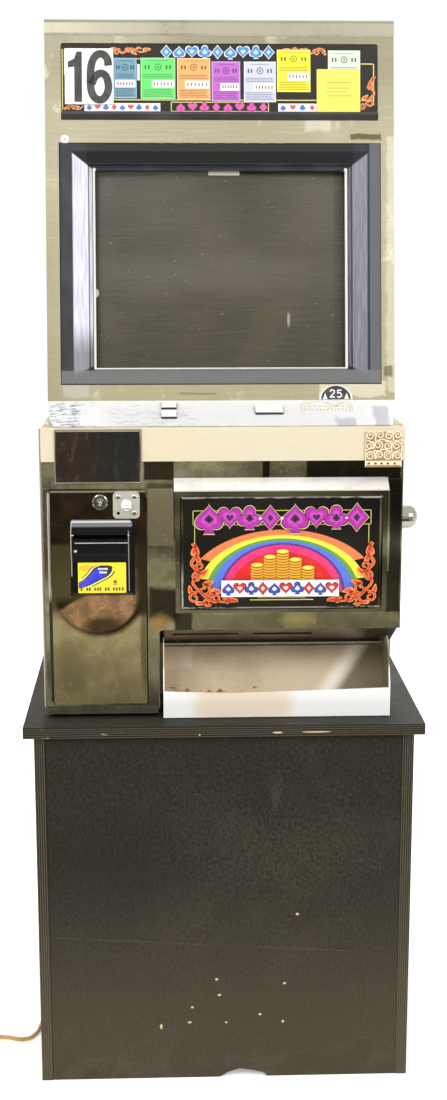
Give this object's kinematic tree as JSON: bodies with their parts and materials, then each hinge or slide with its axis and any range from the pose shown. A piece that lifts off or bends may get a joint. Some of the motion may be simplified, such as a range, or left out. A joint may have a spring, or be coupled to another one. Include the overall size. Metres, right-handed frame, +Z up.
{
  "type": "video poker machine",
  "caption": "Upright video poker machine in polished steel with a leaning screen face, lit panels, bill acceptor column, coin tray and a black plywood stand.",
  "frame": {"origin": "on the floor, centre of the stand's top board in plan", "axes": "+X to the player's right, +Y from the screen to the back, +Z up"},
  "size_m": [0.7485, 0.6037, 1.53],
  "materials": {
    "stand_wood": "worn black paint on plywood",
    "polished_steel": "polished stainless sheet",
    "bright_chrome": "bright plated",
    "satin_steel": "satin, scuffed",
    "trim_metal": "bright brushed, warm",
    "charcoal_plastic": "satin moulded",
    "black_plastic": "glossy moulded",
    "screen_glass": "dark glass",
    "smoked_glass": "smoked",
    "printed_glass": "back-printed colours",
    "printed_label": "printed film",
    "lamp_glass": "white tube",
    "equipment_case": "grey case",
    "circuit_board": "green board",
    "rubber": "matt",
    "lead_jacket": "ochre brown jacket"
  },
  "bodies": {
    "cabinet": {"stand_top_board": "stand_wood", "stand_left_side": "stand_wood", "stand_right_side": "stand_wood", "stand_front_panel": "stand_wood", "stand_bottom_board": "stand_wood", "stand_back_panel": "stand_wood", "lower_shell": "polished_steel", "coin_chute_plate": "satin_steel", "front_foot": "rubber", "rear_foot": "rubber", "coin_tray": "satin_steel", "main_door_hinge": "satin_steel", "button_deck": "bright_chrome", "upper_shell": "polished_steel", "upper_face": "polished_steel", "top_trim": "satin_steel", "marquee_ledge": "charcoal_plastic", "marquee_glass": "printed_glass", "marquee_lamp": "lamp_glass", "monitor_bezel": "charcoal_plastic", "monitor_glass": "screen_glass", "crt_tube": "screen_glass", "monitor_board": "circuit_board", "hopper_base": "equipment_case", "hopper_bowl": "equipment_case", "power_supply": "equipment_case", "logic_box": "equipment_case", "back_panel": "satin_steel", "fan_frame": "black_plastic", "cable_gland": "rubber", "mains_cord": "lead_jacket", "cord_coil": "lead_jacket", "mains_plug": "lead_jacket"},
    "front_door": {"main_door": "polished_steel", "belly_frame": "polished_steel", "belly_hood": "bright_chrome", "belly_glass": "printed_glass", "belly_lamp": "lamp_glass", "trim_band": "trim_metal", "meter_window_frame": "polished_steel", "meter_window": "smoked_glass", "meter_unit": "equipment_case", "lock_strip": "bright_chrome", "corner_ornament": "trim_metal", "bill_door_hinge": "satin_steel", "bill_bezel": "black_plastic", "bill_label": "printed_label", "bill_acceptor_head": "black_plastic", "door_strike": "satin_steel"},
    "bill_flap": {"bill_door": "polished_steel", "hasp_plate": "bright_chrome"},
    "bill_cam": {"bill_lock": "bright_chrome"},
    "hasp_core": {"hasp_plug": "bright_chrome"},
    "cash_box": {"bill_cassette": "equipment_case"},
    "side_lock": {"main_lock": "bright_chrome"},
    "upper_left_key": {"upper_left_button": "charcoal_plastic"},
    "lower_left_key": {"lower_left_button": "charcoal_plastic"},
    "wide_key": {"wide_button": "charcoal_plastic"},
    "coin_wheel": {"hopper_disc": "bright_chrome"},
    "fan_wheel": {"fan_rotor": "black_plastic"}
  },
  "joints": [
    {"name": "front_door_swing", "type": "hinge", "parent": "cabinet", "child": "front_door", "pos_m": [-0.2571, -0.2155, 0.76], "axis": [0, 0, -1], "range_deg": [0, 100]},
    {"name": "bill_door_swing", "type": "hinge", "parent": "front_door", "child": "bill_flap", "pos_m": [-0.2462, -0.2405, 0.724], "axis": [0, 0, -1], "range_deg": [0, 110]},
    {"name": "bill_lock_turn", "type": "hinge", "parent": "bill_flap", "child": "bill_cam", "pos_m": [-0.1737, -0.238, 0.8632], "axis": [0, 1, 0], "range_deg": [0, 90]},
    {"name": "hasp_plug_turn", "type": "hinge", "parent": "bill_flap", "child": "hasp_core", "pos_m": [-0.13685, -0.238, 0.85885], "axis": [0, 1, 0], "range_deg": [0, 90]},
    {"name": "cassette_slide", "type": "slide", "parent": "front_door", "child": "cash_box", "axis": [0, 1, 0], "range_m": [0, 0.1]},
    {"name": "side_lock_turn", "type": "hinge", "parent": "cabinet", "child": "side_lock", "pos_m": [0.254, -0.192, 0.83], "axis": [1, 0, 0], "range_deg": [0, 90]},
    {"name": "upper_left_press", "type": "slide", "parent": "cabinet", "child": "upper_left_key", "axis": [0, 0.4164, -0.9092], "range_m": [0, 0.003], "stiffness_N_per_m": 300, "springref_m": -0.003},
    {"name": "lower_left_press", "type": "slide", "parent": "cabinet", "child": "lower_left_key", "axis": [0, 0.4164, -0.9092], "range_m": [0, 0.003], "stiffness_N_per_m": 300, "springref_m": -0.003},
    {"name": "wide_press", "type": "slide", "parent": "cabinet", "child": "wide_key", "axis": [0, 0.4164, -0.9092], "range_m": [0, 0.003], "stiffness_N_per_m": 300, "springref_m": -0.003},
    {"name": "hopper_disc_spin", "type": "hinge", "parent": "cabinet", "child": "coin_wheel", "pos_m": [0.11, -0.013, 0.72], "axis": [0, 0, 1], "continuous": true},
    {"name": "fan_spin", "type": "hinge", "parent": "cabinet", "child": "fan_wheel", "pos_m": [-0.13, 0.222, 0.882], "axis": [0, 1, 0], "continuous": true}
  ]
}
